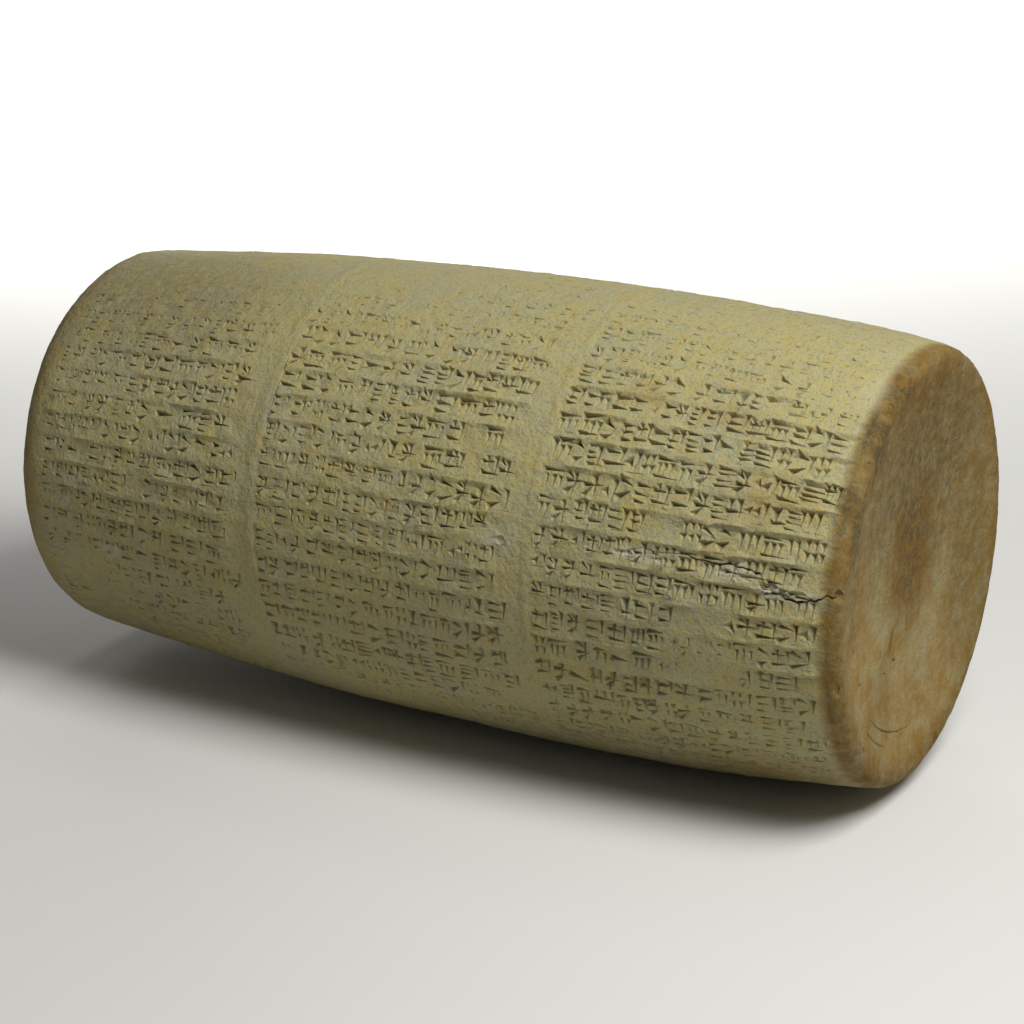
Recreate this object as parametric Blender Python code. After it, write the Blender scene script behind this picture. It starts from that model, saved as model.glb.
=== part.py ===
"""An inscribed clay cylinder: one solid barrel of fired clay, lying on its side.

It lies along X with its near end at +X. The rows of writing run along X, one above the other
round the barrel, in columns side by side. Heights are measured from the flat it rests on.
"""

import math
import random

import bmesh
import bpy

# Barrel, in metres
LENGTH = 0.221  # end to end
GIRTH_RADIUS = 0.055  # at the widest place
WIDEST_OFFSET = 0.018  # of the widest place from mid-length, towards the near end
FAR_TAPER = 0.008  # how much the radius has shrunk at each end
NEAR_TAPER = 0.0046
FAR_LIP = 0.009  # radius of each rounded rim
NEAR_LIP = 0.003
FAR_HOLLOW = 0.003  # depth of each dished end face
NEAR_HOLLOW = 0.0035
REST_FLAT = 0.0005  # depth of the worn flat that it lies on

# Writing, in metres
WRITING_HEIGHT = 0.0046  # from the foot to the top of a row
ROW_GAP = 0.0019  # smooth clay between two rows
STROKE_LENGTH = 0.0066  # room for one stroke along its row
STROKE_GAP = 0.0032
STROKE_DEPTH = 0.0012
COLUMN_MARGIN = 0.006  # bare strip at the right of a column
END_MARGIN = 0.001  # bare strip beside a rim
RULE_WIDTH = 0.001  # scored line at the left of a column
RULE_DEPTH = 0.0004
RULE_MARGIN = 0.0008  # between that line and the first stroke

# Crack that runs in from the near rim, in metres
CRACK_WIDTH = 0.0013
CRACK_DEPTH = 0.0022

COLUMNS = 3
FAR_CURVE = 1.9  # powers of the barrel's curve towards each end
NEAR_CURVE = 2.95
LIP_STEPS = {"far": 4, "near": 2}
DISH_RING = 0.55  # where the dish's ring of faces is, as a share of the face's radius
BARE_SHARE = 0.06  # of the strokes, missing
STROKE_STRAY = 0.45  # how far a stroke strays along its row, as a share of the gap beside it
SEED = 7
SHARP_EDGE = 22  # degrees between two faces from which their edge is shaded sharp
SAME_POINT = 1e-6  # metres within which corners are one

# Each stroke is a three-cornered dent with a broad head and a thin tail. A form gives the low left,
# low right, high right and high left corners and the deepest point, each as its place along and up
# the stroke's room and its share of the depth. The two corners that coincide are the tail.
STROKE_FORMS = {
    "upright": ((0.50, 0.00, 0), (0.50, 0.00, 0), (0.76, 1.00, 0), (0.24, 1.00, 0), (0.50, 0.74, 1)),
    "level": ((0.04, 0.14, 0), (1.00, 0.46, 0), (1.00, 0.46, 0), (0.10, 0.86, 0), (0.24, 0.50, 1)),
    "corner": ((0.14, 0.50, 0), (0.76, 0.06, 0), (0.68, 0.96, 0), (0.14, 0.50, 0), (0.38, 0.52, 1)),
    "slanting": ((0.16, 0.42, 0), (0.84, 0.02, 0), (0.84, 0.02, 0), (0.50, 1.00, 0), (0.38, 0.66, 1)),
}
BARE = ((0.10, 0.50, 0), (0.90, 0.50, 0), (0.90, 0.50, 0), (0.10, 0.50, 0))  # room with no stroke, closed up

# The crack's course from the near end: (distance in from the end in metres, height up the barrel's
# side as degrees of turn, share of the full width and depth)
CRACK_COURSE = (
    (0.000, 10.8, 0.7),
    (0.0033, 10.3, 0.8),
    (0.0078, 8.2, 1.0),
    (0.0123, 8.4, 1.0),
    (0.0168, 10.8, 0.9),
    (0.0183, 13.4, 0.9),
    (0.0233, 14.1, 1.0),
    (0.0353, 14.7, 0.8),
    (0.0523, 14.3, 0.3),
)

AXIS_HEIGHT = GIRTH_RADIUS - REST_FLAT
ROWS = round(math.tau * GIRTH_RADIUS / (WRITING_HEIGHT + ROW_GAP))
LINES = 2 * ROWS  # the foot and the top of every row
ROW_TURN = math.tau / ROWS
WRITING_TURN = WRITING_HEIGHT / GIRTH_RADIUS


def barrel_curve(x):
    """The barrel's radius at x and how steeply it closes in towards that end, rims left out."""
    side, taper, power = (1, NEAR_TAPER, NEAR_CURVE) if x > WIDEST_OFFSET else (-1, FAR_TAPER, FAR_CURVE)
    reach = LENGTH / 2 - side * WIDEST_OFFSET
    share = side * (x - WIDEST_OFFSET) / reach
    return GIRTH_RADIUS - taper * share**power, taper * power / reach * share ** (power - 1)


def body_radius(x):
    return barrel_curve(x)[0]


def at(x, turn, radius):
    """The point at this turn up from the front of the barrel, no lower than the rest flat."""
    height = AXIS_HEIGHT + radius * math.sin(turn)
    return (x, -radius * math.cos(turn), max(0.0, height))


def on_body(x, turn, depth=0.0):
    return at(x, turn, body_radius(x) - depth)


def end_profile(side, lip, hollow, steps):
    """(x, radius, rows merged into one) from the middle of an end face out to the body."""
    end = LENGTH / 2
    lip_centre = end - lip
    slope = math.atan(barrel_curve(side * lip_centre)[1])
    face_radius = body_radius(side * (lip_centre + lip * math.sin(slope))) - lip * math.cos(slope)
    ring_depth = hollow * (1 - DISH_RING**2)
    profile = [(side * (end - hollow), 0.0, 1), (side * (end - ring_depth), face_radius * DISH_RING, 2)]
    for step in range(steps + 1):
        bend = math.pi / 2 + (slope - math.pi / 2) * step / steps
        x = lip_centre + lip * math.sin(bend)
        profile.append((side * x, face_radius + lip * math.cos(bend), 1))
    return profile


def column_strokes(start, end):
    """(left, right) of the room for each stroke along one row of a column."""
    count = max(1, int((end - start + STROKE_GAP) / (STROKE_LENGTH + STROKE_GAP)))
    pitch = (end - start + STROKE_GAP) / count
    return [(start + i * pitch, start + (i + 1) * pitch - STROKE_GAP) for i in range(count)]


def barrel_stations():
    """Every ring of the barrel as (x, radius, rows merged into one), far to near, and the rings
    on the two sides of each stroke. No rows are merged, 0, on a ring that carries writing."""
    far = end_profile(-1, FAR_LIP, FAR_HOLLOW, LIP_STEPS["far"])
    near = end_profile(1, NEAR_LIP, NEAR_HOLLOW, LIP_STEPS["near"])
    stations = list(far)
    strokes = []
    column = LENGTH / COLUMNS
    for i in range(COLUMNS):
        left = i * column - LENGTH / 2
        right = left + column - COLUMN_MARGIN
        if i == 0:
            left = far[-1][0] + END_MARGIN
        else:
            for x, depth in ((-RULE_WIDTH / 2, 0.0), (0.0, RULE_DEPTH), (RULE_WIDTH / 2, 0.0)):
                stations.append((left + x, body_radius(left + x) - depth, 1))
            left += RULE_WIDTH / 2 + RULE_MARGIN
        if i == COLUMNS - 1:
            right = near[-1][0] - END_MARGIN
        for sides in column_strokes(left, right):
            strokes.append((len(stations), len(stations) + 1))
            stations += [(x, body_radius(x), 0) for x in sides]
    return stations + near[::-1], strokes


def line_turn(line, merged):
    """How far up round the barrel a line is. Merged lines meet in the middle of a gap between rows."""
    if merged:
        gap = (line + 1) // 2 % ROWS // merged * merged
        return gap * ROW_TURN - ROW_TURN / 2
    row, is_top = divmod(line, 2)
    return row * ROW_TURN + (is_top - 0.5) * WRITING_TURN


def numbered_tube(station_count):
    """A tube of faces, and its vertices by (station, line)."""
    bm = bmesh.new()
    first = [bm.verts.new((station, -1.0, 0.0)) for station in range(station_count)]
    joined = [bm.edges.new(pair) for pair in zip(first, first[1:])]
    bmesh.ops.spin(
        bm, geom=first + joined, cent=(0, 0, 0), axis=(-1, 0, 0), angle=math.tau, steps=LINES, use_merge=True
    )
    grid = {}
    for vert in bm.verts:
        line = round(math.atan2(vert.co.z, -vert.co.y) / math.tau * LINES) % LINES
        grid[round(vert.co.x), line] = vert
    return bm, grid


def set_room(verts, form, x_span, foot_turn):
    """Places the corners of one stroke's room, and its deepest point where it has a stroke."""
    x_low, x_high = x_span
    for vert, (along, up, deep) in zip(verts, form):
        x = x_low + along * (x_high - x_low)
        vert.co = on_body(x, foot_turn + up * WRITING_TURN, deep * STROKE_DEPTH)


def barrel_mesh(mesh):
    rng = random.Random(SEED)
    stations, strokes = barrel_stations()
    bm, grid = numbered_tube(len(stations))
    for (station, line), vert in grid.items():
        x, radius, merged = stations[station]
        vert.co = at(x, line_turn(line, merged), radius)
    for row in range(ROWS):
        foot, top = 2 * row, 2 * row + 1
        for left, right in strokes:
            form = rng.choice(list(STROKE_FORMS.values()))
            stray = rng.uniform(-STROKE_STRAY, STROKE_STRAY) * STROKE_GAP
            room = [grid[left, foot], grid[right, foot], grid[right, top], grid[left, top]]
            if rng.random() < BARE_SHARE or min(v.co.z for v in room) < STROKE_DEPTH:
                form = BARE
            else:
                room += bmesh.ops.poke(bm, faces=[bm.faces.get(room)])["verts"]
            x_span = (stations[left][0] + stray, stations[right][0] + stray)
            set_room(room, form, x_span, line_turn(foot, 0))
    bmesh.ops.remove_doubles(bm, verts=bm.verts, dist=SAME_POINT)
    bmesh.ops.recalc_face_normals(bm, faces=bm.faces)
    bm.to_mesh(mesh)
    bm.free()


def crack_mesh(mesh):
    """A three-sided sliver of space that follows the crack and stands a little proud of the clay."""
    bm = bmesh.new()
    rings = []
    for inset, degrees, share in CRACK_COURSE:
        x = LENGTH / 2 - inset
        turn = math.radians(degrees)
        half = CRACK_WIDTH / 2 * share / body_radius(x)
        depth = CRACK_DEPTH * share
        # The sides open at the same slope above the clay as below it
        low_side = on_body(x, turn - 2 * half, -depth)
        high_side = on_body(x, turn + 2 * half, -depth)
        bottom = on_body(x, turn, depth)
        rings.append([bm.verts.new(point) for point in (low_side, high_side, bottom)])
    for one, other in zip(rings, rings[1:]):
        for i in range(3):
            j = (i + 1) % 3
            bm.faces.new((one[i], one[j], other[j], other[i]))
    bm.faces.new(rings[0][::-1])
    bm.faces.new(rings[-1])
    bmesh.ops.recalc_face_normals(bm, faces=bm.faces)
    bm.to_mesh(mesh)
    bm.free()


def fired_clay():
    clay = bpy.data.materials.new("fired_clay")
    clay.use_nodes = True
    shader = clay.node_tree.nodes["Principled BSDF"]
    shader.inputs["Base Color"].default_value = (0.33, 0.28, 0.14, 1.0)
    shader.inputs["Roughness"].default_value = 0.85
    shader.inputs["Metallic"].default_value = 0.0
    return clay


def add_object(name, build):
    mesh = bpy.data.meshes.new(name)
    build(mesh)
    made = bpy.data.objects.new(name, mesh)
    bpy.context.scene.collection.objects.link(made)
    return made


def main():
    for old in list(bpy.data.objects):
        bpy.data.objects.remove(old)
    cylinder = add_object("clay_cylinder", barrel_mesh)
    cylinder.data.materials.append(fired_clay())
    cylinder.data.shade_smooth()
    cylinder.data.set_sharp_from_angle(angle=math.radians(SHARP_EDGE))

    crack = add_object("crack_cutter", crack_mesh)
    crack.hide_render = True
    crack.display_type = "WIRE"
    cut = cylinder.modifiers.new("crack", "BOOLEAN")
    cut.operation = "DIFFERENCE"
    cut.object = crack


main()
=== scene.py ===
import math
import random

import bmesh
import bpy
from mathutils import Matrix, Vector, noise


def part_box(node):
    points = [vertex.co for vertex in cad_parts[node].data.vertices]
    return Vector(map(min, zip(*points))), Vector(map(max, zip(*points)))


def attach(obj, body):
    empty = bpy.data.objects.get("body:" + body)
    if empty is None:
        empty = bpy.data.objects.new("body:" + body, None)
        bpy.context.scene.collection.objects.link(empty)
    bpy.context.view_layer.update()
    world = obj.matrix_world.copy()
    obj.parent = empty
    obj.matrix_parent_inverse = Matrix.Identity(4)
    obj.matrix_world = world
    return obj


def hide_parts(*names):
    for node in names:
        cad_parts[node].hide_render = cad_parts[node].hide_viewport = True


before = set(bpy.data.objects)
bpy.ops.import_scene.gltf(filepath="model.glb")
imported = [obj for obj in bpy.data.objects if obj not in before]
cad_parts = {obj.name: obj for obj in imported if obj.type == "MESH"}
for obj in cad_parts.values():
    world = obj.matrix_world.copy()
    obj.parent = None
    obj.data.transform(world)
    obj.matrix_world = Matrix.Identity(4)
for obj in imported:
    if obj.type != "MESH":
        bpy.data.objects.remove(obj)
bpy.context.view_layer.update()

boxLow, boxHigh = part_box("clay_cylinder")

# The barrel of clay, rolled and smoothed by hand. All sizes here are in metres.
# A pattern of noise has its strength, the size of its patches, and the place that it starts from.
barrel = {
    "halfLength": (boxHigh.x - boxLow.x) / 2,
    "radius": (boxHigh.y - boxLow.y) / 2,  # at the widest place
    "widestAt": 0.018,
    "far": {"side": -1, "taper": 0.008, "power": 1.9, "lip": 0.009, "hollow": 0.003, "dishPower": 2.0},
    "near": {"side": 1, "taper": 0.0046, "power": 2.95, "lip": 0.003, "hollow": 0.0035, "dishPower": 2.6},
    "bodyRings": 78, "lipRings": 6, "dishRings": 11,
    "dents": (0.00035, 0.032, 3),  # left by the hands
    "ripple": (0.00014, 0.006, 9),
    "rimWear": (0.0005, 0.006, 7),
    "rimFrom": 0.75,  # share of the radius where the wear of the rim begins
    "smear": 0.0005, "smearSize": 0.016,  # finger marks on the end faces
}
barrel["axisHeight"] = boxHigh.z - barrel["radius"]

# The writing: wedges pressed with a cut reed
writing = {
    "rows": 53, "columns": 3,
    "height": 0.0054,  # of a sign
    # height above a row's middle and rise of the clay there: the rows sink a little between soft bands
    "lines": ((-0.0024, 0.00016), (-0.0004, -0.00016), (0.0020, -0.00014), (0.0031, 0.00032)),
    "bands": (1.6, 0.0045, 2),  # unevenness of the bands, as a share of their rise
    "lumps": (0.00040, 0.0032, 8),  # pushed up between the wedges
    "wornShare": 0.1, "bareShare": 0.2,  # of the bands and lumps where the clay is worn or bare
    "stray": 0.00012, "straySize": 0.0013,  # of the edges of the wedges
    "pushedUp": (0.00003, 0.00017), "steep": math.radians(32),  # clay pushed up at the edges of the wedges
    "leftMargin": 0.0011, "rightMargin": 0.0055, "rimMargin": 0.0006,
    "ruleWidth": 0.0014,
    "ruleRings": (-1.6, -1, 0, 1, 1.6),  # places of the mesh's rings across a rule, in half widths
    # rise of the clay up to a distance from the middle of a rule, in widths: a groove with soft lips
    "ruleRises": ((0.1, 0.00002), (0.6, 0.00012), (0.9, 0)),
    "ruleWaver": (0.0004, 0.02, 6), "rowWaver": (0.00040, 0.045, 4),
    "rowStart": (0, 0.0005),
    "gap": (-0.0004, 0.0003), "wordGap": 0.0014, "wordGapShare": 0.04,
    "overrunShare": 0.2, "overrun": 0.7,  # rows that run over into this share of the bare strip
    "head": 0.0023,  # width of a full wedge's head
    "depth": 0.0011,
    "tip": (0.28, 0.45),  # the point's way from the head: at most these shares of the length and the head
    "skew": 0.15,  # of the head, as a share of its width
    "lift": 0.00035, "tilt": 0.06,  # how far a group strays from its row
    "wedgeLift": 0.0002, "wedgeTilt": 0.08,  # how far a wedge strays in its group
    "lengths": (0.85, 1.15), "heads": (0.8, 1.15), "depths": (0.8, 1.15),
    "goneFrom": 0.82,  # a wedge that is worn by this share of its depth is gone
    "lowest": 2,  # depths between the ground and the lowest wedge
    "plainFrom": -0.1,  # cosine of the turn where the side away from the camera begins
    "plainShare": 0.35,  # of the smaller wedges left out on that side
    "proud": 0.0004,  # how far a cutter stands above the clay
    "seed": 11,
}
rowTurn = math.tau / writing["rows"]
rowPitch = rowTurn * barrel["radius"]
rowLines = writing["lines"] + ((writing["lines"][0][0] + rowPitch, writing["lines"][0][1]),)
rules = [barrel["halfLength"] * (2 * i / writing["columns"] - 1) for i in range(1, writing["columns"])]
starts = [writing["rimMargin"] + barrel["far"]["lip"] - barrel["halfLength"]]
starts += [rule + writing["leftMargin"] for rule in rules]
ends = [rule - writing["rightMargin"] for rule in rules]
ends += [barrel["halfLength"] - barrel["near"]["lip"] - writing["rimMargin"]]

# Clay worn off the top of the wedges: least where the hand never reached
wear = {
    "freshX": 0.070, "freshTurn": math.radians(12),
    "freshHalf": math.radians(34), "wornHalf": math.radians(80),
    "round": 0.00038, "alongPerMetre": 0.0022,
    "patches": (0.00035, 0.026, 5), "leastPatch": -0.000105,
    # x, turn in degrees, half size along, half size up, clay lost
    "spots": (
        (0.079, -11, 0.012, 0.007, 0.0009),
        (0.100, 62, 0.014, 0.012, 0.0005),
        (-0.060, 4, 0.012, 0.006, 0.0003),
        (-0.088, -24, 0.020, 0.012, 0.0005),
        (0.000, 84, 0.200, 0.034, 0.00042),
        (0.000, -62, 0.200, 0.028, 0.0004),
    ),
    # x, turn in degrees, half size along, half size up, where nothing was ever written
    "bare": (
        (0.068, 20, 0.0050, 0.0028),
        (0.079, 0.5, 0.0060, 0.0028),
        (0.0205, 30, 0.0055, 0.0040),
        (-0.071, 9, 0.0050, 0.0028),
    ),
}


def patchy(x, turn, pattern):
    # smooth noise over the clay
    strength, size, start = pattern
    spot = Vector((x, barrel["radius"] * math.cos(turn), barrel["radius"] * math.sin(turn))) / size
    return strength * noise.noise(spot + Vector((start, start * 1.7, start * 2.3)))


def curve(x):
    # radius of the body and how steeply it closes in
    end = barrel["near"] if x > barrel["widestAt"] else barrel["far"]
    reach = barrel["halfLength"] - end["side"] * barrel["widestAt"]
    share = end["side"] * (x - barrel["widestAt"]) / reach
    slope = end["taper"] * end["power"] / reach * share ** (end["power"] - 1)
    return barrel["radius"] - end["taper"] * share ** end["power"], slope


def apart(turn, other):
    # how far one turn is from another, from minus half a turn to half a turn
    return (turn - other + math.pi) % math.tau - math.pi


def within(x, turn, spot):
    # 1 in the middle of a spot, 0 at its edge and below 0 outside
    px, degrees, halfAlong, halfUp = spot[:4]
    up = apart(turn, math.radians(degrees)) * barrel["radius"]
    return 1 - ((x - px) / halfAlong) ** 2 - (up / halfUp) ** 2


def wornAt(x, turn):
    # how much clay is worn off
    beyond = abs(apart(turn, wear["freshTurn"])) - wear["freshHalf"]
    aside = beyond / (wear["wornHalf"] - wear["freshHalf"])
    lost = wear["round"] * min(1, max(0, aside)) + wear["alongPerMetre"] * max(0, wear["freshX"] - x)
    lost += max(wear["leastPatch"], patchy(x, turn, wear["patches"]))
    for spot in wear["spots"]:
        lost += spot[4] * max(0, within(x, turn, spot))
    return max(0, lost)


def rowMiddle(row, x):
    # the turn of a row's middle, which wavers a little
    return row * rowTurn + patchy(x, row * rowTurn, writing["rowWaver"]) / barrel["radius"]


def rowRise(offset):
    # rise of the clay at a height above or below a row's middle
    foot = rowLines[0][0]
    offset = foot + (offset - foot) % rowPitch
    for (low, lowRise), (high, highRise) in zip(rowLines, rowLines[1:]):
        if offset <= high:
            return lowRise + (highRise - lowRise) * (offset - low) / (high - low)
    return rowLines[-1][1]


def isBare(x, turn):
    return any(within(x, turn, spot) > 0 for spot in wear["bare"])


def bodyRadius(x, turn, offset):
    # radius of the clay before the wedges are pressed, at this height above or below its row's middle
    radius = curve(x)[0]
    radius += patchy(x, turn, barrel["dents"])
    radius += patchy(x, turn, barrel["ripple"])
    inColumn = max(min(x - start, end - x) for start, end in zip(starts, ends))
    fresh = max(writing["wornShare"], 1 - wornAt(x, turn) / writing["depth"])
    pushed = min(1, max(0, inColumn / writing["leftMargin"])) * fresh
    if isBare(x, turn):
        pushed *= writing["bareShare"]
    band = rowRise(offset) * (1 + patchy(x, turn, writing["bands"]))
    return radius + pushed * (patchy(x, turn, writing["lumps"]) + band)


def onClay(x, turn, radius):
    # the turn goes up from the front; nothing is lower than the flat it lies on
    height = barrel["axisHeight"] + radius * math.sin(turn)
    return Vector((x, -radius * math.cos(turn), max(0.0, height)))


def endRings(end):
    # (x, radius) from the middle of the dished face out over the rounded rim
    side, lip = end["side"], end["lip"]
    centre = barrel["halfLength"] - lip
    slope = math.atan(curve(side * centre)[1])
    face = curve(side * (centre + lip * math.sin(slope)))[0] - lip * math.cos(slope)
    rings = []
    for i in range(barrel["dishRings"]):
        share = i / barrel["dishRings"]
        hollow = end["hollow"] * (1 - share ** end["dishPower"])
        rings.append((side * (barrel["halfLength"] - hollow), face * share))
    for i in range(barrel["lipRings"] + 1):
        bend = math.pi / 2 + (slope - math.pi / 2) * i / barrel["lipRings"]
        rings.append((side * (centre + lip * math.sin(bend)), face + lip * math.cos(bend)))
    return rings


def rollBarrel():
    far, near = endRings(barrel["far"]), endRings(barrel["near"])
    bodyStart, bodyEnd = far[-1][0], near[-1][0]
    count = barrel["bodyRings"]
    spans = [bodyStart + (bodyEnd - bodyStart) * i / count for i in range(1, count)]
    body = [x for x in spans if min(abs(x - rule) for rule in rules) > writing["ruleWidth"]]
    body += [rule + place * writing["ruleWidth"] / 2 for rule in rules for place in writing["ruleRings"]]
    rings = far + [(x, curve(x)[0]) for x in sorted(body)] + near[::-1]
    perRow = len(writing["lines"])
    lineCount = perRow * writing["rows"]

    bm = bmesh.new()
    first = [bm.verts.new((i, -1, 0)) for i in range(len(rings))]
    edges = [bm.edges.new(pair) for pair in zip(first, first[1:])]
    bmesh.ops.spin(
        bm, geom=first + edges, cent=(0, 0, 0), axis=(-1, 0, 0),
        angle=math.tau, steps=lineCount, use_merge=True,
    )
    for vert in bm.verts:
        station = round(vert.co.x)
        x, radius = rings[station]
        line = round(math.atan2(vert.co.z, -vert.co.y) / math.tau * lineCount) % lineCount
        row, place = divmod(line, perRow)
        offset = writing["lines"][place][0]
        turn = rowMiddle(row, x) + offset / barrel["radius"]
        if len(far) <= station < len(rings) - len(near):
            radius = bodyRadius(x, turn, offset)
            rule = min(rules, key=lambda rule: abs(x - rule))
            aside = abs(x - rule) / writing["ruleWidth"]
            rises = [rise for reach, rise in writing["ruleRises"] if aside < reach]
            if rises:
                radius = curve(x)[0] + patchy(x, turn, barrel["dents"])
                radius += rises[0]
                x += patchy(rule, turn, writing["ruleWaver"])
        else:
            rim = radius / barrel["radius"]
            worn = max(0, (rim - barrel["rimFrom"]) / (1 - barrel["rimFrom"]))
            radius += patchy(x, turn, barrel["dents"]) * rim
            radius += patchy(x, turn, barrel["rimWear"]) * worn
            across = Vector((0, radius * math.cos(turn), radius * math.sin(turn))) / barrel["smearSize"]
            inward = math.copysign(barrel["smear"] * (1 - rim), x)
            x -= inward * (0.5 + noise.noise(across))
        vert.co = onClay(x, turn, max(0, radius))
    bmesh.ops.remove_doubles(bm, verts=bm.verts, dist=1e-6)
    bmesh.ops.recalc_face_normals(bm, faces=bm.faces)
    return bm


def meshObject(name, bm):
    mesh = bpy.data.meshes.new(name)
    bm.to_mesh(mesh)
    bm.free()
    made = bpy.data.objects.new(name, mesh)
    bpy.context.scene.collection.objects.link(made)
    return made


def cutFrom(solid, cutters):
    # takes the space of the cutters out of the solid, and throws the cutters away
    bmesh.ops.recalc_face_normals(cutters, faces=cutters.faces)
    cutter = meshObject("cutter", cutters)
    cut = solid.modifiers.new("cut", "BOOLEAN")
    cut.operation = "DIFFERENCE"
    cut.solver = "MANIFOLD"
    cut.object = cutter
    shown = solid.evaluated_get(bpy.context.evaluated_depsgraph_get())
    mesh = bpy.data.meshes.new_from_object(shown)
    solid.modifiers.clear()
    solid.data = mesh
    bpy.data.objects.remove(cutter)


# A wedge is a three-sided cone with its point down. The matrix takes its four corners to a unit frame.
coneSettings = {"segments": 3, "radius1": 0, "radius2": 1, "depth": 1, "cap_ends": True}
unitCone = bmesh.new()
bmesh.ops.create_cone(unitCone, **coneSettings)
coneCorners = sorted((vert.co.copy() for vert in unitCone.verts), key=lambda corner: -corner.z)
unitFrame = Matrix([(*corner, 1) for corner in coneCorners]).transposed().inverted()
unitCone.free()

right, down, left = 0.0, -math.pi / 2, math.pi
rng = random.Random(writing["seed"])
noise.seed_set(writing["seed"])  # or the stray of the edges would start from the clock


def wedgeMatrix(x, middle, pressed, worn):
    # the cone's head lies at (along, up) from the group's start and its tail points along the angle
    along, up, angle, length, head, depth = pressed
    cos, sin = math.cos(angle), math.sin(angle)

    def inClay(ahead, aside, deep):
        px = x + along + ahead * cos - aside * sin
        offset = up + ahead * sin + aside * cos
        turn = middle + offset / barrel["radius"]
        return onClay(px, turn, bodyRadius(px, turn, offset) - deep + worn)

    lengthShare, headShare = writing["tip"]
    tip = inClay(min(lengthShare * length, headShare * head), 0, depth)
    proud = 1 + (writing["proud"] + worn) / depth
    skew = rng.uniform(-writing["skew"], writing["skew"]) * head
    outline = ((skew, head / 2), (-skew, -head / 2), (length, 0))
    corners = [tip + (inClay(ahead, aside, 0) - tip) * proud for ahead, aside in outline]
    return Matrix([(*corner, 1) for corner in corners + [tip]]).transposed() @ unitFrame


# The kinds of wedge: width of the head and depth, as shares of a full wedge's
strokes = {
    "level": (0.54, 0.78), "upright": (0.88, 1), "hook": (1.25, 1), "slant": (0.75, 0.9),
    "levelLength": 1.12, "hookLength": 0.95,
}


def wedge(kind, along, up, angle, length, size):
    # (along, up, angle, length, width of the head, depth)
    head, depth = strokes[kind]
    head = writing["head"] * (head * size)
    return along, up * writing["height"], angle, length, head, writing["depth"] * (depth * size)


def level(along, up, length, size=1.0):
    return wedge("level", along, up, right, length * strokes["levelLength"], size)


def upright(along, up, length, size=1.0):
    return wedge("upright", along, up, down, length * writing["height"], size)


def hook(along, up, size=1.0):
    return wedge("hook", along, up, left, writing["head"] * strokes["hookLength"] * size, size)


def slant(along, up, angle, length, size=1.0):
    return wedge("slant", along, up, angle, length, size)


# The groups of wedges that fill a row. Widths, pitches and rooms are in metres, or shares of a pitch where
# a pitch is given. Heights and lengths of uprights are shares of a sign's height, heights from its middle.
# A share such as postShare is how often that wedge is there.
signTop = 0.5
groups = {
    "stack": {
        "counts": (2, 3, 3, 4), "barSizes": {2: 1.45, 3: 1.15, 4: 0.92}, "width": (0.0028, 0.0050),
        "start": (0, 0.0005),
        "postShare": 0.65, "postLength": (0.85, 1), "postSize": 0.95, "postRoom": 0.0009,
        "innerShare": 0.25, "innerAt": 0.0009, "innerLength": 0.95, "innerSize": 0.9,
    },
    "posts": {
        "counts": (1, 2, 2, 3), "pitch": (0.0017, 0.0021), "first": 0.6, "length": (0.8, 1), "size": 0.95,
        "barShare": 0.6, "barHeight": (-0.3, 0.2), "barSize": 1.2, "room": 0.2,
    },
    "hooks": {
        "counts": (1, 2), "pitch": 0.0020, "height": (-0.15, 0.15), "room": 0.3,
        "postShare": 0.6, "postAt": 0.0006, "postRoom": 0.0014,
    },
    "crossing": {
        "width": (0.0038, 0.0050), "barHeight": (-0.1, 0.1), "barSize": 1.3, "postAt": 0.55,
        "sides": ((1,), (-1,), (1, -1)), "slantAt": 0.0004, "slantHeight": 0.45, "slantAngle": (0.6, 0.9),
        "slantLength": 0.9,
    },
    "comb": {
        "counts": (2, 3, 3), "pitch": (0.0014, 0.0017), "room": 0.0009, "barHeight": 0.36, "barSize": 1.2,
        "first": 0.7, "toothHeight": 0.22, "toothLength": 0.70, "toothSize": 0.75,
        "footShare": 0.5, "footHeight": -0.4, "footSize": 1.1,
    },
    "fence": {
        "counts": (2, 2, 3), "width": (0.0038, 0.0052), "railHeights": (0.24, -0.25), "railSize": 1.2,
        "first": 0.7, "postSize": 0.85,
    },
    "slants": {
        "width": (0.0032, 0.0046), "height": 0.42, "angle": (0.35, 0.6), "size": 1.2,
        "postShare": 0.6, "postLength": 0.95, "postRoom": 0.0008,
    },
    "smallPosts": {
        "counts": (2, 2, 3), "pitch": 0.0017, "first": 0.5, "size": 0.8,
        "rows": ((0.5, 0.5), (0.0, 0.48)),  # height and length
    },
    "great": {
        "slantShare": 0.6, "width": (0.0048, 0.0062), "height": (-0.1, 0.3), "angle": (-0.3, 0.1),
        "slantSize": 1.35, "crossWidth": 0.0036, "postAt": 0.0016, "postSize": 1.35,
        "barAt": 0.0004, "barHeight": -0.2, "barSize": 1.3,
    },
}


def stack():
    sizes = groups["stack"]
    count = rng.choice(sizes["counts"])
    width = rng.uniform(*sizes["width"])
    wedges = []
    for i in range(count):
        start = rng.uniform(*sizes["start"])
        wedges.append(level(start, (i + 0.5) / count - signTop, width, sizes["barSizes"][count]))
    if rng.random() < sizes["postShare"]:
        wedges.append(upright(width, signTop, rng.uniform(*sizes["postLength"]), sizes["postSize"]))
        width += sizes["postRoom"]
    if rng.random() < sizes["innerShare"]:
        wedges.append(upright(sizes["innerAt"], signTop, sizes["innerLength"], sizes["innerSize"]))
    return width, wedges


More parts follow.
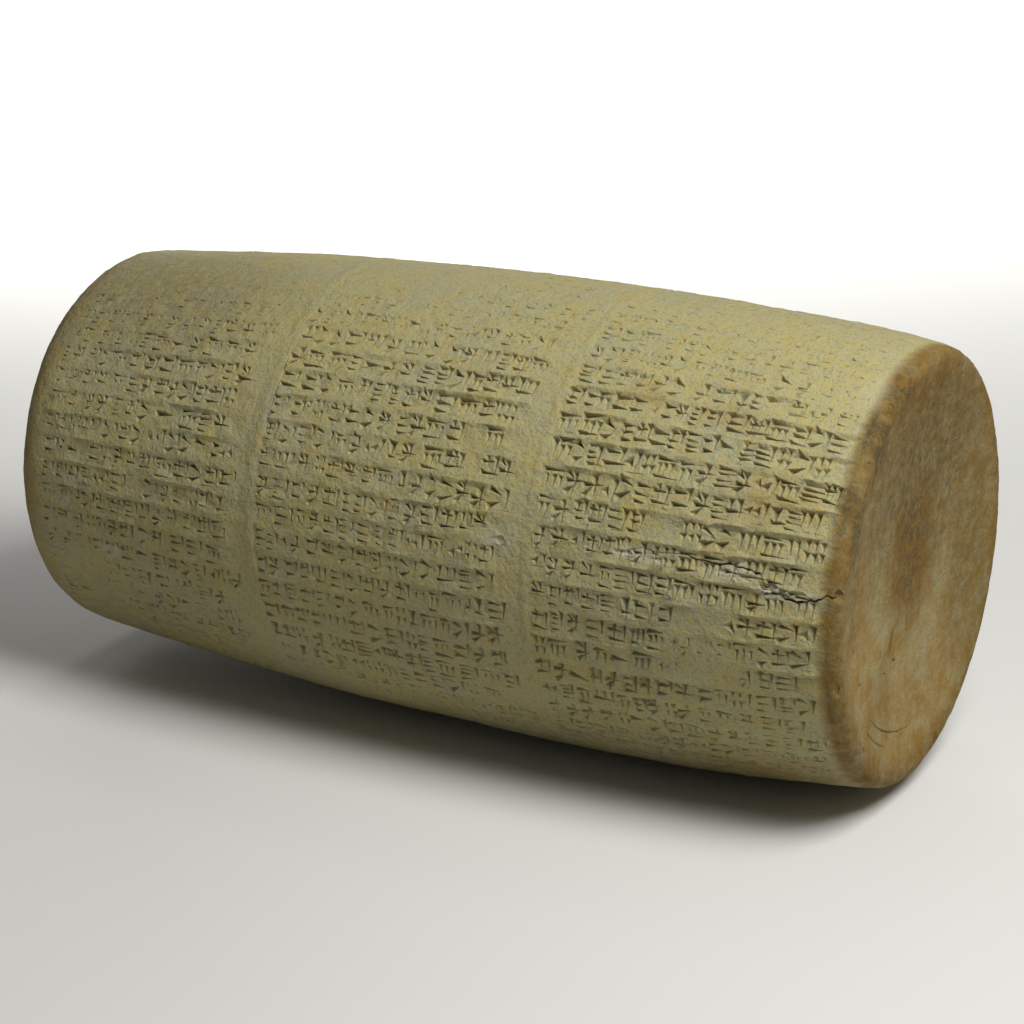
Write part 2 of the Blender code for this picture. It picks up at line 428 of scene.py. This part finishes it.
def posts():
    sizes = groups["posts"]
    count = rng.choice(sizes["counts"])
    pitch = rng.uniform(*sizes["pitch"])
    wedges = []
    for i in range(count):
        length = rng.uniform(*sizes["length"])
        wedges.append(upright(pitch * (i + sizes["first"]), signTop, length, sizes["size"]))
    if rng.random() < sizes["barShare"]:
        wedges.append(level(0, rng.uniform(*sizes["barHeight"]), pitch * count, sizes["barSize"]))
    return pitch * (count + sizes["room"]), wedges


def hooks():
    sizes = groups["hooks"]
    count = rng.choice(sizes["counts"])
    pitch = sizes["pitch"]
    wedges = [hook(pitch * (i + 1), rng.uniform(*sizes["height"])) for i in range(count)]
    width = pitch * (count + sizes["room"])
    if rng.random() < sizes["postShare"]:
        wedges.append(upright(width + sizes["postAt"], signTop, 1))
        width += sizes["postRoom"]
    return width, wedges


def crossing():
    sizes = groups["crossing"]
    width = rng.uniform(*sizes["width"])
    wedges = [level(0, rng.uniform(*sizes["barHeight"]), width, sizes["barSize"])]
    wedges.append(upright(width * sizes["postAt"], signTop, 1))
    for side in rng.choice(sizes["sides"]):
        up = side * sizes["slantHeight"]
        angle = -side * rng.uniform(*sizes["slantAngle"])
        wedges.append(slant(sizes["slantAt"], up, angle, width * sizes["slantLength"]))
    return width, wedges


def comb():
    sizes = groups["comb"]
    count = rng.choice(sizes["counts"])
    pitch = rng.uniform(*sizes["pitch"])
    width = pitch * count + sizes["room"]
    wedges = [level(0, sizes["barHeight"], width, sizes["barSize"])]
    for i in range(count):
        along = pitch * (i + sizes["first"])
        wedges.append(upright(along, sizes["toothHeight"], sizes["toothLength"], sizes["toothSize"]))
    if rng.random() < sizes["footShare"]:
        wedges.append(level(0, sizes["footHeight"], width, sizes["footSize"]))
    return width, wedges


def fence():
    sizes = groups["fence"]
    count = rng.choice(sizes["counts"])
    width = rng.uniform(*sizes["width"])
    wedges = [level(0, up, width, sizes["railSize"]) for up in sizes["railHeights"]]
    for i in range(count):
        wedges.append(upright(width * (i + sizes["first"]) / count, signTop, 1, sizes["postSize"]))
    return width, wedges


def slants():
    sizes = groups["slants"]
    width = rng.uniform(*sizes["width"])
    wedges = []
    for side in (1, -1):
        angle = -side * rng.uniform(*sizes["angle"])
        wedges.append(slant(0, side * sizes["height"], angle, width, sizes["size"]))
    if rng.random() < sizes["postShare"]:
        wedges.append(upright(width, signTop, sizes["postLength"]))
        width += sizes["postRoom"]
    return width, wedges


def smallPosts():
    sizes = groups["smallPosts"]
    count = rng.choice(sizes["counts"])
    pitch = sizes["pitch"]
    wedges = []
    for up, length in sizes["rows"]:
        wedges += [upright(pitch * (i + sizes["first"]), up, length, sizes["size"]) for i in range(count)]
    return pitch * count, wedges


def great():
    sizes = groups["great"]
    width = rng.uniform(*sizes["width"])
    if rng.random() < sizes["slantShare"]:
        up = rng.uniform(*sizes["height"])
        return width, [slant(0, up, rng.uniform(*sizes["angle"]), width, sizes["slantSize"])]
    width = sizes["crossWidth"]
    wedges = [upright(sizes["postAt"], signTop, 1, sizes["postSize"])]
    wedges.append(level(sizes["barAt"], sizes["barHeight"], width, sizes["barSize"]))
    return width, wedges


howOften = {
    stack: 6, posts: 2, hooks: 1, crossing: 4, comb: 3, fence: 3, slants: 2, smallPosts: 1, great: 1,
}
groupKinds = [group for group, times in howOften.items() for i in range(times)]


def pressGroup(cuts, x, row, number, wedges):
    middle = rowMiddle(row, x)
    lift = rng.uniform(-1, 1) * writing["lift"]
    tilt = rng.uniform(-1, 1) * writing["tilt"]
    for i, (along, up, angle, length, head, depth) in enumerate(wedges):
        up += lift + rng.uniform(-1, 1) * writing["wedgeLift"]
        angle += tilt + rng.uniform(-1, 1) * writing["wedgeTilt"]
        length *= rng.uniform(*writing["lengths"])
        head *= rng.uniform(*writing["heads"])
        depth *= rng.uniform(*writing["depths"])
        worn = wornAt(x + along, middle)
        isLow = onClay(x, middle, curve(x)[0]).z < writing["lowest"] * depth
        isAway = math.cos(middle) < writing["plainFrom"]
        isPlain = i > 0 and isAway and rng.random() < writing["plainShare"]
        if worn < depth * writing["goneFrom"] and not isLow and not isPlain:
            pressed = (along, up, angle, length, head, depth)
            cuts.setdefault((i, number % 2, row % 2), []).append(wedgeMatrix(x, middle, pressed, worn))


def writeRows():
    # wedge matrices by the cut they belong to, so that no two wedges of one cut overlap
    cuts = {}
    for row in range(writing["rows"]):
        for column in range(writing["columns"]):
            x = starts[column] + rng.uniform(*writing["rowStart"])
            end = ends[column]
            if column < len(rules) and rng.random() < writing["overrunShare"]:
                end += writing["rightMargin"] * writing["overrun"]
            number = 0
            while True:
                width, wedges = rng.choice(groupKinds)()
                if x + width > end:
                    break
                number += 1
                if not isBare(x + width / 2, row * rowTurn):
                    pressGroup(cuts, x, row, number, wedges)
                x += width + rng.uniform(*writing["gap"])
                if rng.random() < writing["wordGapShare"]:
                    x += writing["wordGap"]
    return cuts


def finishClay(mesh):
    # crumbs go, clay rises a little at the steep edges of the wedges, and nothing stays quite straight
    bm = bmesh.new()
    bm.from_mesh(mesh)
    bmesh.ops.triangulate(bm, faces=bm.faces)
    reached = {bm.verts[:][0]}
    front = list(reached)
    while front:
        vert = front.pop()
        near = {edge.other_vert(vert) for edge in vert.link_edges}
        front += near - reached
        reached |= near
    bmesh.ops.delete(bm, geom=[vert for vert in bm.verts if vert not in reached], context="VERTS")
    for vert in bm.verts:
        steepest = max(edge.calc_face_angle_signed(0) for edge in vert.link_edges)
        if steepest > writing["steep"] and starts[0] < vert.co.x < ends[-1]:
            outward = Vector((0, vert.co.y, vert.co.z - barrel["axisHeight"])).normalized()
            vert.co += outward * rng.uniform(*writing["pushedUp"])
        vert.co += noise.noise_vector(vert.co / writing["straySize"]) * writing["stray"]
        vert.co.z = max(0, vert.co.z)
    bm.to_mesh(mesh)
    bm.free()


def countTriangles(mesh):
    return sum(len(face.vertices) - 2 for face in mesh.polygons)


cylinder = meshObject("inscribed_cylinder", rollBarrel())
print("barrel rolled:", countTriangles(cylinder.data), "triangles")

cuts = writeRows()
for key in sorted(cuts):
    wedges = bmesh.new()
    for matrix in cuts[key]:
        bmesh.ops.create_cone(wedges, **coneSettings, matrix=matrix)
    cutFrom(cylinder, wedges)
wedgeCount = sum(map(len, cuts.values()))
print("writing pressed:", wedgeCount, "wedges,", countTriangles(cylinder.data), "triangles")

# The crack that runs in from the near rim: distance from the end, degrees of turn, share of the full size
crack = {
    "width": 0.0006, "widths": (0.5, 1.5), "depth": 0.0018, "jag": 0.00045, "steps": 5,
    "proud": 0.0008,  # of the cutter above the clay
    "course": (
        (0.000, 10.8, 0.7), (0.0033, 10.3, 0.8), (0.0078, 8.2, 1.0),
        (0.0123, 8.4, 1.0), (0.0168, 10.8, 0.9), (0.0183, 13.4, 0.9),
        (0.0233, 14.1, 1.0), (0.0353, 14.7, 0.7), (0.0523, 14.3, 0.3),
    ),
}

# Marks on the near end face, measured across to the right and up from its middle
faceMarks = {
    # distance from the middle, first and last degrees round it, width, depth
    "scratches": (
        (0.0378, -134, -93, 0.0009, 0.00045), (0.0412, -136, -112, 0.0007, 0.00035),
        (0.0455, -137, -133, 0.0006, 0.00030),
    ),
    "steps": 12, "thin": 0.15,  # share of a scratch's size that is left at its ends
    # across, up, half size across, half size up, depth
    "pits": (
        (-0.0092, -0.0199, 0.0014, 0.0007, 0.0009), (-0.0156, -0.0209, 0.0010, 0.0006, 0.0008),
        (-0.0153, -0.0030, 0.0005, 0.0005, 0.0004), (-0.0328, -0.0171, 0.0006, 0.0006, 0.0004),
        (-0.0105, -0.0148, 0.0006, 0.0030, 0.0003), (-0.0174, -0.0150, 0.0005, 0.0014, 0.0003),
        (0.0126, -0.0470, 0.0018, 0.0024, 0.0013), (0.0200, 0.0242, 0.0040, 0.0005, 0.0003),
        (0.0430, 0.0180, 0.0014, 0.0020, 0.0006), (-0.0250, 0.0120, 0.0005, 0.0006, 0.0004),
    ),
}

# Broken places: x, turn in degrees, half size along, half size up, depth
chips = {
    "body": (
        (0.0615, 13.0, 0.0042, 0.0011, 0.0005), (0.0680, 12.8, 0.0022, 0.0009, 0.0004),
        (0.0850, 12.6, 0.0024, 0.0010, 0.0005), (0.0882, 12.0, 0.0022, 0.0009, 0.0004),
        (0.0905, 15.6, 0.0024, 0.0008, 0.0004), (0.0950, 10.6, 0.0022, 0.0011, 0.0005),
        (0.0975, 9.6, 0.0020, 0.0010, 0.0004), (0.1010, 9.8, 0.0026, 0.0010, 0.0004),
        (0.1042, 8.6, 0.0018, 0.0009, 0.0004), (-0.0805, -14.2, 0.0014, 0.0010, 0.0004),
        (0.0300, 11.0, 0.0018, 0.0009, 0.0003),
    ),
    # turn in degrees, half size round the rim, half size across it, depth
    "nearRim": (
        (10.6, 0.0016, 0.0013, 0.0008), (-53.8, 0.0035, 0.0016, 0.0005), (-157.5, 0.0040, 0.0016, 0.0007),
        (122.0, 0.0030, 0.0016, 0.0006), (44.0, 0.0020, 0.0011, 0.0005), (62.0, 0.0026, 0.0012, 0.0005),
        (28.0, 0.0016, 0.0010, 0.0004), (-14.0, 0.0018, 0.0010, 0.0004), (84.0, 0.0022, 0.0012, 0.0005),
        (-96.0, 0.0030, 0.0014, 0.0006), (-122.0, 0.0020, 0.0012, 0.0005), (170.0, 0.0026, 0.0014, 0.0006),
    ),
    "ragged": 0.28, "swell": 1.15,  # of the lumps that bite them out
    "sharp": math.radians(28),  # between faces that meet in a sharp edge
}


def localFrame(point, normal, along):
    # a frame with its first axis along the clay and its third out of it
    normal = normal.normalized()
    first = (along - normal * along.dot(normal)).normalized()
    turned = Matrix((first, normal.cross(first), normal)).transposed().to_4x4()
    return Matrix.Translation(point) @ turned


def addBite(bm, place, halfAlong, halfUp, depth):
    # a ragged lump of space whose underside lies at this depth in the clay
    lump = Matrix.Diagonal((halfAlong * chips["swell"], halfUp * chips["swell"], depth * 2, 1))
    matrix = place @ Matrix.Translation((0, 0, depth)) @ lump
    verts = bmesh.ops.create_icosphere(bm, subdivisions=2, radius=1, matrix=Matrix())["verts"]
    for vert in verts:
        vert.co *= 1 + rng.uniform(-1, 1) * chips["ragged"]
        vert.co = matrix @ vert.co


def grooveCutter(stations):
    # a three-sided rod through the stations, with one edge down in the clay
    spans = len(stations) - 1
    bm = bmesh.new()
    bmesh.ops.create_cone(bm, segments=3, radius1=1, radius2=1, depth=spans, cap_ends=True)
    lengthwise = [edge for edge in bm.edges if edge.verts[0].co.z * edge.verts[1].co.z < 0]
    bmesh.ops.subdivide_edges(bm, edges=lengthwise, cuts=spans - 1)
    for vert in bm.verts:
        point, outward, sideways, width, depth = stations[round(vert.co.z + spans / 2)]
        corner = round(math.atan2(vert.co.x, vert.co.y) / math.tau * 3) % 3
        aside = (0, 0.5, -0.5)[corner] * width * (1 + crack["proud"] / depth)
        vert.co = point + outward * (crack["proud"] if corner else -depth) + sideways * aside
    return bm


def crackStations():
    stations = []
    for one, other in zip(crack["course"], crack["course"][1:]):
        for i in range(crack["steps"]):
            inset, degrees, share = [a + (b - a) * i / crack["steps"] for a, b in zip(one, other)]
            x = barrel["halfLength"] - inset
            turn = math.radians(degrees) + rng.uniform(-1, 1) * crack["jag"] / barrel["radius"]
            outward = Vector((0, -math.cos(turn), math.sin(turn)))
            sideways = Vector((0, math.sin(turn), math.cos(turn)))
            width = crack["width"] * share * rng.uniform(*crack["widths"])
            point = onClay(x, turn, curve(x)[0])
            stations.append((point, outward, sideways, width, crack["depth"] * share))
    return stations


def onNearFace(across, up):
    # a point on the dished face and the direction out of it there
    end = barrel["near"]
    face = endRings(end)[barrel["dishRings"]][1]
    share = math.hypot(across, up) / face
    x = barrel["halfLength"] - end["hollow"] * (1 - share ** end["dishPower"])
    slope = end["hollow"] * end["dishPower"] / face * share ** (end["dishPower"] - 1)
    outward = Vector((1, -slope * across / face / share, -slope * up / face / share)).normalized()
    return Vector((x, across, barrel["axisHeight"] + up)), outward


def scratchStations(away, first, last, width, depth):
    stations = []
    for i in range(faceMarks["steps"] + 1):
        share = i / faceMarks["steps"]
        angle = math.radians(first + (last - first) * share)
        sideways = Vector((0, math.cos(angle), math.sin(angle)))
        point, outward = onNearFace(away * sideways.y, away * sideways.z)
        size = faceMarks["thin"] + (1 - faceMarks["thin"]) * math.sin(math.pi * share)
        stations.append((point, outward, sideways, width * size, depth * size))
    return stations


cutFrom(cylinder, grooveCutter(crackStations()))
for scratch in faceMarks["scratches"]:
    cutFrom(cylinder, grooveCutter(scratchStations(*scratch)))
bites = bmesh.new()
for x, degrees, halfAlong, halfUp, depth in chips["body"]:
    turn = math.radians(degrees)
    normal = Vector((0, -math.cos(turn), math.sin(turn)))
    point = onClay(x, turn, curve(x)[0])
    addBite(bites, localFrame(point, normal, Vector((1, 0, 0))), halfAlong, halfUp, depth)
for across, up, halfAcross, halfUp, depth in faceMarks["pits"]:
    point, outward = onNearFace(across, up)
    addBite(bites, localFrame(point, outward, Vector((0, 1, 0))), halfAcross, halfUp, depth)
lip = barrel["near"]["lip"]
for degrees, halfRound, halfAcross, depth in chips["nearRim"]:
    turn = math.radians(degrees)
    outward = Vector((0, -math.cos(turn), math.sin(turn)))
    normal = (outward + Vector((1, 0, 0))).normalized()
    x = barrel["halfLength"] - lip
    point = onClay(x, turn, curve(x)[0] - lip) + normal * lip
    around = Vector((0, math.sin(turn), math.cos(turn)))
    addBite(bites, localFrame(point, normal, around), halfRound, halfAcross, depth)
cutFrom(cylinder, bites)
finishClay(cylinder.data)
print("cracked and chipped:", countTriangles(cylinder.data), "triangles")

# Colour changes, real staining and painted shade: place, half sizes, strength
stainsAndPaintedShade = {
    # over the body, in x and degrees of turn
    "paleBody": (
        (0.0635, 13.2, 0.0080, 0.0022, 0.9), (0.0860, 13.0, 0.0070, 0.0026, 0.9),
        (0.0960, 9.5, 0.0050, 0.0026, 1.0), (0.1030, 9.0, 0.0050, 0.0024, 0.9),
        (-0.0805, -14.2, 0.0050, 0.0030, 0.7), (0.0290, 11.0, 0.0060, 0.0050, 0.6),
        (0.1050, 66.0, 0.0040, 0.0080, 0.4),
    ),
    "orangeBody": (
        (0.0570, 51.5, 0.0080, 0.0040, 0.20), (0.0795, 49.0, 0.0110, 0.0050, 0.22),
        (0.0900, 30.0, 0.0140, 0.0080, 0.18), (0.0900, -53.0, 0.0260, 0.0130, 0.32),
    ),
    # over the near end face, across to the right and up from its middle
    "orangeFace": (
        (-0.003, 0.044, 0.024, 0.010, 1.0), (0.014, 0.045, 0.014, 0.007, 0.7),
        (-0.020, 0.036, 0.008, 0.010, 0.5), (0.002, 0.004, 0.022, 0.030, 0.9),
        (-0.003, 0.004, 0.014, 0.018, 1.2), (-0.017, 0.045, 0.014, 0.009, 1.0),
        (0.040, -0.004, 0.006, 0.020, 0.5), (-0.010, -0.046, 0.014, 0.005, 0.6),
        (0.030, 0.026, 0.010, 0.008, 0.4), (-0.008, -0.020, 0.010, 0.014, 0.6),
        (0.024, -0.018, 0.014, 0.020, 0.4), (-0.0105, -0.0148, 0.0014, 0.0036, 1.0),
        (-0.0174, -0.0150, 0.0010, 0.0016, 0.8), (-0.0073, -0.0101, 0.0012, 0.0026, 0.8),
    ),
    # painted shade on the dished near end face: over its upper half, its right side, the strip inside the
    # left rim, and in a pit
    "paintedFaceShade": (
        (-0.031, 0.032, 0.009, 0.018, 0.5), (-0.039, 0.010, 0.006, 0.020, 0.5),
        (0.0126, -0.0470, 0.0020, 0.0030, 0.7), (0.004, 0.024, 0.050, 0.040, 0.62),
        (0.000, 0.008, 0.016, 0.028, 0.75), (0.034, -0.004, 0.018, 0.044, 0.45),
        (-0.016, 0.046, 0.013, 0.008, 0.80), (-0.030, 0.039, 0.010, 0.013, 0.95),
        (0.004, 0.049, 0.012, 0.006, 0.4), (-0.041, 0.023, 0.008, 0.018, 0.75),
    ),
    # over the body: painted shade, darker towards the far end and below
    "paintedBodyShade": (
        (-0.085, 66.0, 0.050, 0.030, 0.30), (-0.080, -46.0, 0.060, 0.024, 0.25),
        (0.060, -54.0, 0.070, 0.022, 0.36),
    ),
    "bodyShare": 0.9,  # of the radius: what lies deeper belongs to an end face
    "deepFrom": 0.0005, "deepSpan": 0.0014,  # depth where a stroke starts to darken, and where it is darkest: dirt and painted shade in the strokes
    "aboveGround": 0.0005,  # lower than this, nothing darkens
    # distances from an end, strengths of the marks there, and where the rim begins on its face
    "nearFrom": 0.0046, "nearFade": 0.0020, "farFade": 0.012,
    # on the near rim: brown staining and painted shade, with more painted shade towards the lower front
    "nearOrange": 0.56, "rimOrange": 0.10, "farOrange": 0.5, "rimStainAndShade": 0.36, "lowRimShade": 0.14,
    "rimShadeTurn": math.radians(-15), "rimFrom": 0.0425, "rimFade": 0.0045,
}


def spotStrength(spots, across, up, scale):
    # the strongest of the spots here; the scale takes the second place to metres
    strongest = 0
    for px, py, halfAcross, halfUp, strength in spots:
        inside = 1 - ((across - px) / halfAcross) ** 2 - ((up - py) * scale / halfUp) ** 2
        strongest = max(strongest, strength * max(0, inside))
    return strongest


def markClay(mesh):
    # how deep each corner lies in the writing, how stained or broken the clay is there, and how much
    # painted shade it gets
    names = ("deep", "orange", "stainAndShade", "pale")
    layers = {name: mesh.attributes.new(name, "FLOAT", "POINT").data for name in names}
    bodyStart = -barrel["halfLength"] + barrel["far"]["lip"]
    bodyEnd = barrel["halfLength"] - barrel["near"]["lip"]
    degree = math.radians(1) * barrel["radius"]
    for i, vert in enumerate(mesh.vertices):
        x, y, z = vert.co
        z -= barrel["axisHeight"]
        turn = math.atan2(z, -y)
        degrees = math.degrees(turn)
        radius = math.hypot(y, z)
        isBody = radius > stainsAndPaintedShade["bodyShare"] * curve(x)[0]
        if isBody and bodyStart < x < bodyEnd and vert.co.z > stainsAndPaintedShade["aboveGround"]:
            offset = apart(turn, rowMiddle(round(turn / rowTurn), x)) * barrel["radius"]
            lost = bodyRadius(x, turn, offset) - radius
            # the deeper a corner lies in a stroke, the more dirt and painted shade it gets
            layers["deep"][i].value = min(1, max(0, (lost - stainsAndPaintedShade["deepFrom"]) / stainsAndPaintedShade["deepSpan"]))
        if isBody:
            layers["pale"][i].value = spotStrength(stainsAndPaintedShade["paleBody"], x, degrees, degree)
        fromNear = barrel["halfLength"] - x
        nearEnd = min(1, max(0, (stainsAndPaintedShade["nearFrom"] - fromNear) / stainsAndPaintedShade["nearFade"]))
        farEnd = max(0, 1 - (barrel["halfLength"] + x) / stainsAndPaintedShade["farFade"])
        # painted shade over the body, towards the far end and below
        stainAndShade = spotStrength(stainsAndPaintedShade["paintedBodyShade"], x, degrees, degree)
        orange = max(stainsAndPaintedShade["farOrange"] * farEnd, spotStrength(stainsAndPaintedShade["orangeBody"], x, degrees, degree))
        if nearEnd > 0:
            onRim = min(1, max(0, (radius - stainsAndPaintedShade["rimFrom"]) / stainsAndPaintedShade["rimFade"]))
            below = max(0, math.cos(turn - stainsAndPaintedShade["rimShadeTurn"]))
            rimOrange = nearEnd * (stainsAndPaintedShade["nearOrange"] + stainsAndPaintedShade["rimOrange"] * onRim)
            # brown staining and painted shade on the near rim, more painted shade towards the lower front
            rimStainAndShade = (stainsAndPaintedShade["rimStainAndShade"] + stainsAndPaintedShade["lowRimShade"] * below) * onRim * nearEnd
            orange = max(orange, rimOrange, spotStrength(stainsAndPaintedShade["orangeFace"], y, z, 1))
            # painted shade on the dished end face
            stainAndShade = max(stainAndShade, rimStainAndShade, spotStrength(stainsAndPaintedShade["paintedFaceShade"], y, z, 1))
        layers["orange"][i].value = orange
        layers["stainAndShade"][i].value = stainAndShade


markClay(cylinder.data)
cylinder.data.shade_smooth()
cylinder.data.set_sharp_from_angle(angle=chips["sharp"])
print("stains placed")


def linearColour(hexCode):
    # a screen's colour as the light that it stands for
    channels = [int(hexCode[i:i + 2], 16) / 255 for i in (1, 3, 5)]
    return [c / 12.92 if c <= 0.04045 else ((c + 0.055) / 1.055) ** 2.4 for c in channels] + [1]


def addNode(tree, kind, settings=None, inputs=None):
    # a value in inputs is set on its socket, and another node's output is linked to it
    made = tree.nodes.new("ShaderNode" + kind)
    for name, value in (settings or {}).items():
        setattr(made, name, value)
    for name, value in (inputs or {}).items():
        if isinstance(value, bpy.types.NodeSocket):
            tree.links.new(value, made.inputs[name])
        else:
            made.inputs[name].default_value = value
    return made


# Fired buff clay, unglazed and hand smoothed: it scatters all the light softly, with a fine gritty grain,
# grey and ochre where the kiln's heat differed, orange-brown at the near rim, and a deeper brown in the
# strokes that is partly dirt and partly painted shade. Painted shade also lies over the body towards the
# far end and below, on the near rim and on the dished end face.
clay = {
    "buff": "#9D976A", "grey": "#939279", "ochre": "#A48E48", "shade": "#757256",
    "strokeDirtAndShade": "#453F29", "orange": "#7C5A18", "stainAndShade": "#4E4328", "pale": "#A9A68F",
    # size in metres and detail of each pattern; the grit is drawn a little coarser than the real one
    "grains": {"patches": (0.022, 3), "clouds": (0.006, 4), "lumps": (0.0022, 3), "grit": (0.0007, 1)},
    "grainRoughness": 0.6,
    # each layer of colour: its pattern, the mark that limits it, the pattern's range, least and most share
    "layers": (
        ("grey", "patches", None, 0.40, 0.62, 0.2, 0.7),
        ("ochre", "clouds", None, 0.48, 0.72, 0.0, 0.45),
        ("ochre", "grit", None, 0.52, 0.64, 0.0, 0.75),
        ("shade", "grit", None, 0.46, 0.34, 0.0, 0.5),
        ("orange", "clouds", "orange", 0.34, 0.62, 0.60, 1.4),
        # painted shade over the body, the near rim and the end face, with the brown staining of the rim
        ("stainAndShade", "lumps", "stainAndShade", 0.35, 0.62, 0.60, 1.4),
        ("orange", "grit", "orange", 0.50, 0.62, 0.0, 0.6),
        ("pale", "clouds", "pale", 0.35, 0.60, 0.30, 1.1),
        # dirt and painted shade deep in the strokes
        ("strokeDirtAndShade", "lumps", "deep", 0.30, 0.60, 0.6, 1.0),
    ),
    "roughness": (0.80, 0.95), "roughFrom": (0.3, 0.7),  # over this range of the lumps
    "ior": 1.5, "specular": 0.25,
    "gritHeight": 0.00014, "lumpHeight": 0.00050,
    "soften": 0.00050, "softenSamples": 4,  # radius to which the edges of the strokes are worn
}


def firedClay():
    material = bpy.data.materials.new("firedClay")
    material.use_nodes = True
    tree = material.node_tree
    shader = tree.nodes["Principled BSDF"]
    place = addNode(tree, "TexCoord").outputs["Object"]
    grains = {}
    for name, (size, detail) in clay["grains"].items():
        inputs = {"Vector": place, "Scale": 1 / size, "Detail": detail, "Roughness": clay["grainRoughness"]}
        grains[name] = addNode(tree, "TexNoise", {}, inputs).outputs["Fac"]

    colour = linearColour(clay["buff"])
    for name, grain, mark, low, high, least, most in clay["layers"]:
        inputs = {"Value": grains[grain], "From Min": low, "From Max": high}
        inputs.update({"To Min": least, "To Max": most})
        share = addNode(tree, "MapRange", {}, inputs).outputs["Result"]
        if mark:
            marked = addNode(tree, "Attribute", {"attribute_name": mark}).outputs["Fac"]
            settings = {"operation": "MULTIPLY", "use_clamp": True}
            share = addNode(tree, "Math", settings, {0: share, 1: marked}).outputs[0]
        inputs = {0: share, 6: colour, 7: linearColour(clay[name])}
        colour = addNode(tree, "Mix", {"data_type": "RGBA"}, inputs).outputs[2]
    tree.links.new(colour, shader.inputs["Base Color"])

    low, high = clay["roughFrom"]
    least, most = clay["roughness"]
    inputs = {"Value": grains["lumps"], "From Min": low, "From Max": high}
    inputs.update({"To Min": least, "To Max": most})
    tree.links.new(addNode(tree, "MapRange", {}, inputs).outputs["Result"], shader.inputs["Roughness"])
    shader.inputs["IOR"].default_value = clay["ior"]
    shader.inputs["Specular IOR Level"].default_value = clay["specular"]

    worn = addNode(tree, "Bevel", {"samples": clay["softenSamples"]}, {"Radius": clay["soften"]})
    normal = worn.outputs["Normal"]
    for grain, height in (("lumps", clay["lumpHeight"]), ("grit", clay["gritHeight"])):
        inputs = {"Height": grains[grain], "Distance": height, "Strength": 1.0, "Normal": normal}
        normal = addNode(tree, "Bump", {}, inputs).outputs["Normal"]
    tree.links.new(normal, shader.inputs["Normal"])
    return material


cylinder.data.materials.clear()
cylinder.data.materials.append(firedClay())
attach(cylinder, "root")
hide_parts("clay_cylinder")

# The studio: a pale matt floor and a faint light all round
studio = {
    "floorSize": 14.0, "floorColour": "#D0CFCA", "floorRoughness": 0.9,
    "room": 0.12,
    # name, place, what it is aimed at, size, power and spread in degrees: the soft light of the photograph,
    # one for the floor behind, and a weak one for the back, which the photograph doesn't show
    "lamps": (
        ("softLamp", (0.36, -0.15, 0.55), (0, 0, 0.05), 0.30, 4.7, 180),
        ("floorLamp", (-0.6, 1.1, 1.3), (-0.6, 1.1, 0), 1.0, 22, 66),
        ("backLamp", (-0.5, 0.6, 0.20), (0, 0, 0.05), 0.40, 1.8, 180),
    ),
}

floorMesh = bmesh.new()
bmesh.ops.create_grid(floorMesh, x_segments=1, y_segments=1, size=studio["floorSize"] / 2)
floor = meshObject("floor", floorMesh)
floorPaint = bpy.data.materials.new("mattFloor")
floorPaint.use_nodes = True
floorShader = floorPaint.node_tree.nodes["Principled BSDF"]
floorShader.inputs["Base Color"].default_value = linearColour(studio["floorColour"])
floorShader.inputs["Roughness"].default_value = studio["floorRoughness"]
floor.data.materials.append(floorPaint)

for name, place, aim, size, power, spread in studio["lamps"]:
    lamp = bpy.data.lights.new(name, "AREA")
    lamp.energy = power
    lamp.size = size
    lamp.spread = math.radians(spread)
    lampObject = bpy.data.objects.new(name, lamp)
    bpy.context.scene.collection.objects.link(lampObject)
    lampObject.visible_camera = False
    lampObject.location = place
    towards = Vector(aim) - lampObject.location
    lampObject.rotation_euler = towards.to_track_quat("-Z", "Y").to_euler()

room = bpy.data.worlds.new("studio")
room.use_nodes = True
room.node_tree.nodes["Background"].inputs["Color"].default_value = (1, 1, 1, 1)
room.node_tree.nodes["Background"].inputs["Strength"].default_value = studio["room"]
bpy.context.scene.world = room
bpy.context.scene.view_settings.view_transform = "Standard"

# The camera: where the photograph was taken from, aimed a little beside the middle of the barrel
view = {
    "azimuth": math.radians(28.40), "elevation": math.radians(18.88),
    "distance": 0.7555, "toRight": 0.00363, "upwards": -0.0039,
    "lens": 109.45, "sensor": 36,  # millimetres
}
sideways, forwards = math.sin(view["azimuth"]), math.cos(view["azimuth"])
flat = math.cos(view["elevation"])
back = Vector((sideways * flat, -forwards * flat, math.sin(view["elevation"])))
across = Vector((forwards, sideways, 0))
upward = back.cross(across)
camera = bpy.data.objects.new("camera", bpy.data.cameras.new("camera"))
bpy.context.scene.collection.objects.link(camera)
camera.matrix_world = Matrix((across, upward, back)).transposed().to_4x4()
camera.location = (0, 0, barrel["axisHeight"])
camera.location += back * view["distance"] + across * view["toRight"] + upward * view["upwards"]
camera.data.sensor_width = view["sensor"]
camera.data.lens = view["lens"]
bpy.context.scene.camera = camera
print("studio ready")
